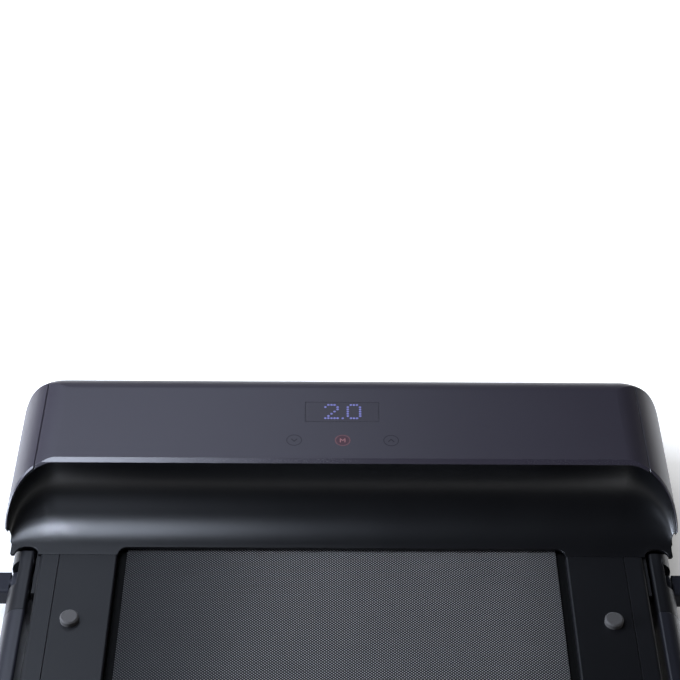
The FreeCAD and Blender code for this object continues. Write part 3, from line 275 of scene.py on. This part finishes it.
def deck_board():
    """Fibreboard with a waxed black laminate on its two faces."""
    dark_fibre, pale_fibre, laminate = (0.20, 0.135, 0.08), (0.33, 0.24, 0.15), (0.004, 0.004, 0.004)
    surface = Surface("deck_board", (0.26, 0.18, 0.11), 0.8, Specular_IOR_Level=0.1)
    fibres = surface.noise(scale=260.0, detail=5.0, roughness=0.7, stretch=(1, 0.15, 1))
    core = surface.colour_between(fibres, dark_fibre, pale_fibre)
    upright = surface.math("ABSOLUTE", surface.parts(surface.coordinates["Normal"])["Z"])
    level_face = surface.math("GREATER_THAN", upright, 0.7)
    return surface.use(
        Base_Color=surface.colour_between(level_face, core, laminate),
        Normal=surface.bump(fibres, 0.05 * MM),
    )


def printed(name, colour, glow=0.0):
    """A lit or printed mark under the panel's clear top coat."""
    surface = Surface(name, colour, 0.45, Emission_Color=(*colour, 1.0), Emission_Strength=glow)
    mottle = surface.noise(scale=900.0, detail=2.0)
    return surface.use(Base_Color=surface.colour_between(mottle, shaded(colour, 0.85), colour))


def floor_paint():
    """White to the eye, keeping the object's shadow, with painted shade from ambient occlusion darkening its glow
    under and close to the object, and dimmer far off and up the wall.
    """
    white = (0.82, 0.82, 0.82)
    surface = Surface("floor_white", white, 0.9, Specular_IOR_Level=0.1, Emission_Color=(1, 1, 1, 1))
    open_sky = surface.node("AmbientOcclusion", {"Distance": 0.15}, samples=8)["AO"]
    unshaded = surface.math("POWER", open_sky, 2.0)
    distance = surface.node("VectorMath", {0: surface.place}, operation="LENGTH")["Value"]
    outward = surface.spread(distance, 0.9, 0.5, start=3.0, end=25.0)
    upward = surface.spread(surface.parts(surface.place)["Z"], 1.0, 0.2, start=0.0, end=WALL)
    # Painted shade: the glow is darkened by ambient occlusion under the object and in the narrow gaps beside it.
    glow = surface.product(surface.seen_directly(), unshaded)
    return surface.use(Emission_Strength=surface.product(glow, surface.product(outward, upward)))


HOUSING_GREY = (0.033, 0.0280, 0.0388)
WINDOW_GREY = (0.030, 0.0253, 0.0350)

# One material for each slot of the record.
MATERIALS = {
    "housing": moulded("housing_plastic", HOUSING_GREY, 0.40, rim=0.26, Specular_IOR_Level=0.95),
    "cove": moulded("cove_plastic", (0.0014, 0.0015, 0.0023), 0.31, grain=0.06, Specular_IOR_Level=0.72),
    "tray": moulded("tray_plastic", (0.014, 0.014, 0.016), 0.52, grain=0.5),
    "lens": moulded("smoked_window", WINDOW_GREY, 0.40, grain=0.05, edge=0.3, Specular_IOR_Level=0.95),
    "circuit": circuit_board(),
    "motor": painted("motor_lacquer", (0.030, 0.030, 0.033), 0.35),
    "steel": metal("turned_steel", (0.52, 0.52, 0.53), 0.28),
    "zinc": metal("zinc_plate", (0.60, 0.60, 0.62), 0.33),
    "sink": metal("aluminium", (0.70, 0.70, 0.72), 0.36),
    "drive_rubber": rubber("drive_rubber", (0.014, 0.014, 0.015)),
    "socket": moulded("socket_nylon", (0.012, 0.012, 0.013), 0.4, edge=0.3),
    "frame": painted("powder_coat", (0.006, 0.006, 0.007), 0.72, coat=0.0),
    "board": deck_board(),
    "tread": moulded("tread_plastic", (0.0030, 0.0030, 0.0040), 0.38, grain=0.4),
    "trim": moulded("trim_plastic", (0.0050, 0.0050, 0.0062), 0.38, grain=0.3),
    "bumper": rubber("bumper_rubber", (0.061, 0.057, 0.054), 0.7),
    "belt": belt_cloth(),
    "foot": rubber("foot_rubber", (0.016, 0.016, 0.017)),
    "wheel": rubber("wheel_rubber", (0.022, 0.022, 0.023), 0.55, pores=900.0, depth=0.03),
    "arm": painted("arm_paint", (0.016, 0.016, 0.022), 0.38, coat=0.3),
    "hub": moulded("hub_nylon", (0.0070, 0.0070, 0.0085), 0.36, grain=0.3),
    "grip": rubber("grip_foam", (0.014, 0.014, 0.015), 0.85, pores=900.0, depth=0.25),
    "knob": moulded("knob_nylon", (0.024, 0.0245, 0.031), 0.45, grain=0.3, Specular_IOR_Level=0.12),
}
PRINTS = {
    "digit": printed("lit_digit", (0.15, 0.15, 0.36), glow=0.5),
    "key": printed("key_print", (0.020, 0.0185, 0.024)),
    "mode": printed("mode_print", (0.072, 0.034, 0.046), glow=0.1),
    "mode_rim": printed("mode_rim", (0.15, 0.062, 0.070), glow=0.35),
    "mode_letter": printed("mode_letter", (0.25, 0.12, 0.13), glow=0.35),
}


def bevel_edges(node, width):
    """Cuts a flat bevel along the sharp edges of a node, by modifiers."""
    weld = node.modifiers.new("weld", "WELD")
    weld.merge_threshold = 0.01 * MM
    bevel = node.modifiers.new("bevel", "BEVEL")
    bevel.width = width
    bevel.segments = 1
    bevel.use_clamp_overlap = False
    bevel.limit_method = "ANGLE"
    bevel.angle_limit = math.radians(40)
    split = node.modifiers.new("split", "EDGE_SPLIT")
    split.split_angle = math.radians(22)
    even = node.modifiers.new("even", "WEIGHTED_NORMAL")
    even.keep_sharp = True


def dress_nodes():
    """Gives each CAD node its slot's material, and the end caps a bevelled rim."""
    ends = moulded("end_plastic", HOUSING_GREY, 0.40, edge=0.3, rim=0.28, Specular_IOR_Level=0.82)
    end_caps = [f"end_cap_{side}" for side in SIDES]
    for row in frame["record"]["subparts"]:
        slots = NODES[row["node"]].data.materials
        slots.clear()
        slots.append(ends if row["node"] in end_caps else MATERIALS[row["material_slot"]])
    for name in end_caps:
        bevel_edges(NODES[name], 1.25 * MM)


def placed(name, data):
    """A new object in the scene."""
    thing = bpy.data.objects.new(name, data)
    bpy.context.scene.collection.objects.link(thing)
    return thing


def mesh_object(name, shape, material):
    """An object in the scene from a bmesh, which it uses up."""
    mesh = bpy.data.meshes.new(name)
    shape.to_mesh(mesh)
    shape.free()
    mesh.materials.append(material)
    return placed(name, mesh)


def new_piece(name, shape, material, body):
    """A smooth piece of the part from a bmesh, riding on a body if one is given."""
    bmesh.ops.recalc_face_normals(shape, faces=shape.faces)
    piece = mesh_object(name, shape, material)
    piece.data.shade_smooth()
    piece.data.set_sharp_from_angle(angle=math.radians(35))
    if body:
        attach(piece, body)
    return piece


def turns(steps):
    """The angles of a full turn in equal steps."""
    return [2 * math.pi * step / steps for step in range(steps)]


def level_ring(shape, centre, radius, z, steps):
    """A ring of vertices in a level plane."""
    x, y = centre
    return [shape.verts.new((x + radius * math.cos(t), y + radius * math.sin(t), z)) for t in turns(steps)]


def rings_to_faces(shape, rings, close=False):
    """Joins rings of the same number of vertices with quads."""
    pairs = list(zip(rings, rings[1:]))
    if close:
        pairs.append((rings[-1], rings[0]))
    for first, second in pairs:
        count = len(first)
        for place in range(count):
            after = (place + 1) % count
            shape.faces.new((first[place], first[after], second[after], second[place]))


def belt_path():
    """Points round the belt's loop, closer by the fold: y, z, and the outward direction's y and z."""
    radius = (BELT_HIGH.z - BELT_LOW.z) / 2
    height = (BELT_HIGH.z + BELT_LOW.z) / 2
    front, rear = BELT_HIGH.y - radius, BELT_LOW.y + radius
    coarse, fine, reach, least = 8 * MM, 1.5 * MM, 75 * MM, 0.3 * MM
    roller_steps = 28

    def round_roller(centre, start):
        for step in range(roller_steps):
            angle = start + math.pi * step / roller_steps
            out_y, out_z = math.cos(angle), math.sin(angle)
            yield centre + radius * out_y, height + radius * out_z, out_y, out_z

    stops = []
    y = front
    while y > rear:
        stops.append(y)
        y -= fine if abs(y - FOLD.y) < reach else coarse
    points = [(y, height + radius, 0.0, 1.0) for y in stops]
    points += round_roller(rear, math.pi / 2)
    points += [(y, height - radius, 0.0, -1.0) for y in reversed(stops)]
    points += round_roller(front, -math.pi / 2)
    path = points[:1]
    for point in points[1:]:
        if math.dist(point[:2], path[-1][:2]) > least:
            path.append(point)
    return path


def walking_belt():
    """The belt as a close mesh with its length laid out, with closer rows by the fold."""
    wall, edge = 1.8 * MM, 0.5 * MM
    half = BELT_HIGH.x
    section = [
        (-half + edge, 0), (half - edge, 0), (half, edge), (half, wall - edge),
        (half - edge, wall), (-half + edge, wall), (-half, wall - edge), (-half, edge),
    ]
    path = belt_path()
    lengths = [0.0]
    for first, second in zip(path, path[1:] + path[:1]):
        lengths.append(lengths[-1] + math.dist(first[:2], second[:2]))
    shape = bmesh.new()
    chart = shape.loops.layers.uv.new("cloth")
    rings = [
        [shape.verts.new((x, y - out_y * drop, z - out_z * drop)) for x, drop in section]
        for y, z, out_y, out_z in path
    ]
    count = len(section)
    for row, ring in enumerate(rings):
        following = rings[(row + 1) % len(rings)]
        for place in range(count):
            after = (place + 1) % count
            face = shape.faces.new((ring[place], ring[after], following[after], following[place]))
            spots = ((place, row), (after, row), (after, row + 1), (place, row + 1))
            for loop, (column, line) in zip(face.loops, spots):
                loop[chart].uv = (section[column][0], lengths[line])
    belt = new_piece("belt_loop", shape, MATERIALS["belt"], None)
    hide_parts("walking_belt")
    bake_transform(belt)


def foam_grip(side):
    """A foam sleeve on the crossbar: slightly crowned, with rolled ends and an uneven skin."""
    low, high = (Vector(corner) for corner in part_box(f"grip_{side}"))
    middle = (low + high) / 2
    length = high.x - low.x
    outer, bore = (high.z - low.z) / 2, 15.2 * MM
    roll, crown, unevenness = 3.2 * MM, 0.5 * MM, 0.22 * MM
    roll_steps, columns, around = 7, 60, 56
    ripples_along, ripples_around, sunk = 55, 1.3, 0.6
    rolled_end = [(0.0, bore), (0.0, outer - 2.0 * roll / 1.4)]
    for step in range(1, roll_steps + 1):
        angle = math.pi / 2 * step / roll_steps
        rolled_end.append((roll * (1 - math.cos(angle)), outer - roll - crown + roll * math.sin(angle)))
    back = []
    for step in range(1, columns):
        part = step / columns
        swell = crown * (1 - (2 * part - 1) ** 4)
        back.append((roll + (length - 2 * roll) * part, outer - crown + swell))
    profile = rolled_end + back + [(length - x, radius) for x, radius in reversed(rolled_end)]
    shape = bmesh.new()
    rings = []
    for along, radius in profile:
        ring = []
        for angle in turns(around):
            x, y, z = Vector((low.x + along, math.cos(angle), math.sin(angle)))
            ripple = noise.noise(Vector((x * ripples_along, y * ripples_around, z * ripples_around)))
            reach = radius
            if radius > bore + MM:
                reach += unevenness * (ripple - sunk)
            ring.append(shape.verts.new((x, middle.y + reach * y, middle.z + reach * z)))
        rings.append(ring)
    rings_to_faces(shape, rings, close=True)
    grip = new_piece(f"foam_grip_{side}", shape, MATERIALS["grip"], "handrail")
    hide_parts(f"grip_{side}")


def pill(shape, start, end, radius, high=MARK_HIGH, steps=8):
    """A flat stroke on the cover with round ends, and its rim; a dot where both ends are the same."""
    start, end = Vector(start), Vector(end)
    heading = math.atan2(end.y - start.y, end.x - start.x)
    outline = []
    for centre, turn in ((end, -math.pi / 2), (start, math.pi / 2)):
        for step in range(steps + 1):
            angle = heading + turn + math.pi * step / steps
            outline.append((centre.x + radius * math.cos(angle), centre.y + radius * math.sin(angle)))
    upper = [shape.verts.new((x, y, high)) for x, y in outline]
    lower = [shape.verts.new((x, y, MARK_LOW)) for x, y in outline]
    rings_to_faces(shape, [lower, upper])
    shape.faces.new(upper)
    shape.faces.new(lower[::-1])


def ring_band(shape, centre, inner, outer, steps=48):
    """A flat ring on the cover."""
    profile = ((inner, MARK_LOW), (outer, MARK_LOW), (outer, MARK_HIGH), (inner, MARK_HIGH))
    rings = [level_ring(shape, centre, radius, z, steps) for radius, z in profile]
    rings_to_faces(shape, rings, close=True)


def lit_speed():
    """The speed in lit dots at the display window."""
    pitch_x, pitch_y, radius = 3.25 * MM, 3.4 * MM, 1.35 * MM
    lefts = {"2": -17.8 * MM, "0": 6.0 * MM}
    middle = LENS_MIDDLE.y + 0.6 * MM
    middle_row = 3
    digits = bmesh.new()
    for figure, left in lefts.items():
        for row, line in enumerate(DOTS[figure]):
            for column, lit in enumerate(line):
                if lit == "1":
                    spot = (left + column * pitch_x, middle + (middle_row - row) * pitch_y)
                    pill(digits, spot, spot, radius)
    point = (0.6 * MM, middle - middle_row * pitch_y)
    pill(digits, point, point, radius)
    new_piece("display_digits", digits, PRINTS["digit"], "base")


def speed_keys():
    """Two touch keys, each a ring with an arrowhead: slower at the left, faster at the right."""
    inner, outer = 7.3 * MM, 8.1 * MM
    tip_rise, tail_drop, tail_aside = 1.8 * MM, 1.6 * MM, 2.8 * MM
    keys = bmesh.new()
    for x, up in ((-50.0 * MM, -1), (51.0 * MM, 1)):
        ring_band(keys, (x, KEYS_Y), inner, outer)
        tip = (x, KEYS_Y + up * tip_rise)
        for side in (-1, 1):
            pill(keys, tip, (x + side * tail_aside, KEYS_Y - up * tail_drop), KEY_STROKE)
    new_piece("speed_keys", keys, PRINTS["key"], "base")


def mode_key():
    """The middle touch key: a tinted disc, its rim and a letter M."""
    centre = (0.5 * MM, KEYS_Y)
    disc_radius, inner, outer = 6.6 * MM, 7.2 * MM, 8.0 * MM
    disc_top = MARK_HIGH - 0.02 * MM
    half_width, half_height, dip = 2.4 * MM, 2.6 * MM, 0.6 * MM
    disc = bmesh.new()
    pill(disc, centre, centre, disc_radius, disc_top, steps=24)
    new_piece("mode_key", disc, PRINTS["mode"], "base")
    rim = bmesh.new()
    ring_band(rim, centre, inner, outer)
    new_piece("mode_rim", rim, PRINTS["mode_rim"], "base")
    corners = (
        (-half_width, -half_height), (-half_width, half_height), (0.0, -dip),
        (half_width, half_height), (half_width, -half_height),
    )
    spots = [(centre[0] + x, centre[1] + y) for x, y in corners]
    letter = bmesh.new()
    for first, second in zip(spots, spots[1:]):
        pill(letter, first, second, KEY_STROKE)
    new_piece("mode_letter", letter, PRINTS["mode_letter"], "base")


def screw(shape, place, direction, radius, height=2.2 * MM):
    """A low dome-headed screw with a hexagonal socket."""
    turn = Vector((0, 0, 1)).rotation_difference(Vector(direction)).to_matrix()
    place = Vector(place)
    profile = [(1.0, 0.0), (1.0, 0.3), (0.92, 0.62), (0.74, 0.88), (0.54, 1.0), (0.5, 0.98), (0.48, 0.45)]
    socket, half_side, steps = 0.52, math.pi / 6, 24
    rings = []
    for part, rise in profile:
        ring = []
        for angle in turns(steps):
            reach = part
            if part < socket:
                offset = (angle + half_side) % (2 * half_side) - half_side
                reach = part * math.cos(half_side) / math.cos(offset)
            reach *= radius
            spot = Vector((reach * math.cos(angle), reach * math.sin(angle), rise * height))
            ring.append(shape.verts.new(place + turn @ spot))
        rings.append(ring)
    rings_to_faces(shape, rings)
    shape.faces.new(rings[-1])
    shape.faces.new(rings[0][::-1])


def screws():
    """Screws under both belly pans and the tray, and on the handrail's brackets."""
    down, sunk = (0, 0, -1), 0.2 * MM
    pan_radius, bracket_radius = 4.2 * MM, 4.5 * MM
    pan_columns, tray_columns = (-0.296, -0.1, 0.1, 0.296), (-0.29, -0.1, 0.1, 0.29)
    pan_rows = (0.04, 0.5, 0.96)
    tray_rear_inset, tray_front_inset = 12 * MM, 48 * MM
    bracket_face, bracket_reach, bracket_heights = 311.5 * MM, 21 * MM, (22 * MM, 53 * MM)
    front, rear, bracket = bmesh.new(), bmesh.new(), bmesh.new()
    front_low, front_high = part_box("front_belly_pan")
    rear_low, rear_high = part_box("rear_belly_pan")
    underside = front_low[2] + sunk
    for shape, low, high in ((front, front_low, front_high), (rear, rear_low, rear_high)):
        for x in pan_columns:
            for part in pan_rows:
                y = low[1] + part * (high[1] - low[1])
                screw(shape, (x, y, underside), down, pan_radius)
    tray_low, tray_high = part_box("base_pan")
    for x in tray_columns:
        for y in (tray_low[1] + tray_rear_inset, tray_high[1] - tray_front_inset):
            screw(front, (x, y, tray_low[2] + sunk), down, pan_radius)
    for side in (-1, 1):
        for y in (PIVOT.y - bracket_reach, PIVOT.y + bracket_reach):
            for z in bracket_heights:
                screw(bracket, (side * bracket_face, y, z), (side, 0, 0), bracket_radius)
    new_piece("front_screws", front, MATERIALS["zinc"], "base")
    new_piece("rear_screws", rear, MATERIALS["zinc"], "rear_deck")
    new_piece("bracket_screws", bracket, MATERIALS["zinc"], "base")


def backdrop():
    """A wide pale floor whose far edge curves up into a wall."""
    reach, bend, bend_steps, around = 30.0, 1.0, 8, 96
    profile = [(1.0, 0.0), (6.0, 0.0), (reach - bend, 0.0)]
    for step in range(1, bend_steps + 1):
        angle = math.pi / 2 * step / bend_steps
        profile.append((reach - bend + bend * math.sin(angle), bend - bend * math.cos(angle)))
    profile += [(reach, WALL / 2), (reach, WALL)]
    shape = bmesh.new()
    rings = [level_ring(shape, (0, 0), radius, z, around) for radius, z in profile]
    rings_to_faces(shape, rings)
    shape.faces.new(rings[0])
    floor = mesh_object("floor", shape, floor_paint())


def lamp(name, place, target, size, power, colour=(1, 1, 1), spread=math.pi):
    """A soft rectangular lamp, aimed at a target."""
    light = bpy.data.lights.new(name, "AREA")
    light.shape = "RECTANGLE"
    light.size, light.size_y = size
    light.energy = power
    light.color = colour
    light.spread = spread
    holder = placed(name, light)
    holder.location = place
    holder.rotation_euler = (Vector(target) - Vector(place)).to_track_quat("-Z", "Y").to_euler()


def lamps():
    """Soft cool light from the walker's left, a weak fill, and a small spot on the cove's left bowl."""
    cool = (0.76, 0.84, 1.0)
    housing, cover_left, bowl = (-0.1, 0.5, 0.08), (-0.2, 0.44, 0.08), (-0.296, 0.483, 0.072)
    narrow = math.radians(3)
    lamp("overhead_left", (-0.9, 0.44, 1.35), cover_left, (0.7, 1.25), 24, cool)
    lamp("front_left", (-0.75, 1.8, 1.6), housing, (1.9, 0.8), 6, cool)
    lamp("side_left", (-3.6, 0.0, 0.9), housing, (1.2, 0.7), 150, cool)
    lamp("camera_left", (-1.0, -0.9, 1.4), housing, (1.2, 0.9), 3, cool)
    lamp("fill", (2.4, 0.1, 1.1), housing, (1.2, 1.0), 6)
    lamp("bowl_spot", (-0.465, 0.392, 1.2), bowl, (0.03, 0.03), 0.0009, cool, narrow)


def surround():
    """Dim everywhere, so that the lamps shape the object; the floor and its wall are the background."""
    world = bpy.data.worlds.new("surround")
    bpy.context.scene.world = world
    world.use_nodes = True
    ground = world.node_tree.nodes["Background"]
    ground.inputs["Color"].default_value = (1, 1, 1, 1)
    ground.inputs["Strength"].default_value = 0.02


def camera():
    """The photograph's view: from behind and above the deck, through a long lens."""
    aside, behind_foot_line, height = -0.0118, 1.2353, 1.4324
    pitch, yaw, roll = (math.radians(angle) for angle in (41.231, -0.368, 0.551))
    focal_pixels, frame_pixels = 1782.3, 680
    data = bpy.data.cameras.new("camera")
    data.sensor_width = 36.0
    data.lens = data.sensor_width * focal_pixels / frame_pixels
    holder = placed("camera", data)
    tilt = Matrix.Rotation(math.pi / 2 - pitch, 4, "X")
    turn = Matrix.Rotation(yaw, 4, "Z") @ tilt @ Matrix.Rotation(roll, 4, "Z")
    holder.matrix_world = Matrix.Translation((aside, FOOT_LINE - behind_foot_line, height)) @ turn
    bpy.context.scene.camera = holder


camera()
dress_nodes()
walking_belt()
for side in SIDES:
    foam_grip(side)
lit_speed()
speed_keys()
mode_key()
screws()
backdrop()
lamps()
surround()
bpy.context.scene.view_settings.view_transform = "Standard"
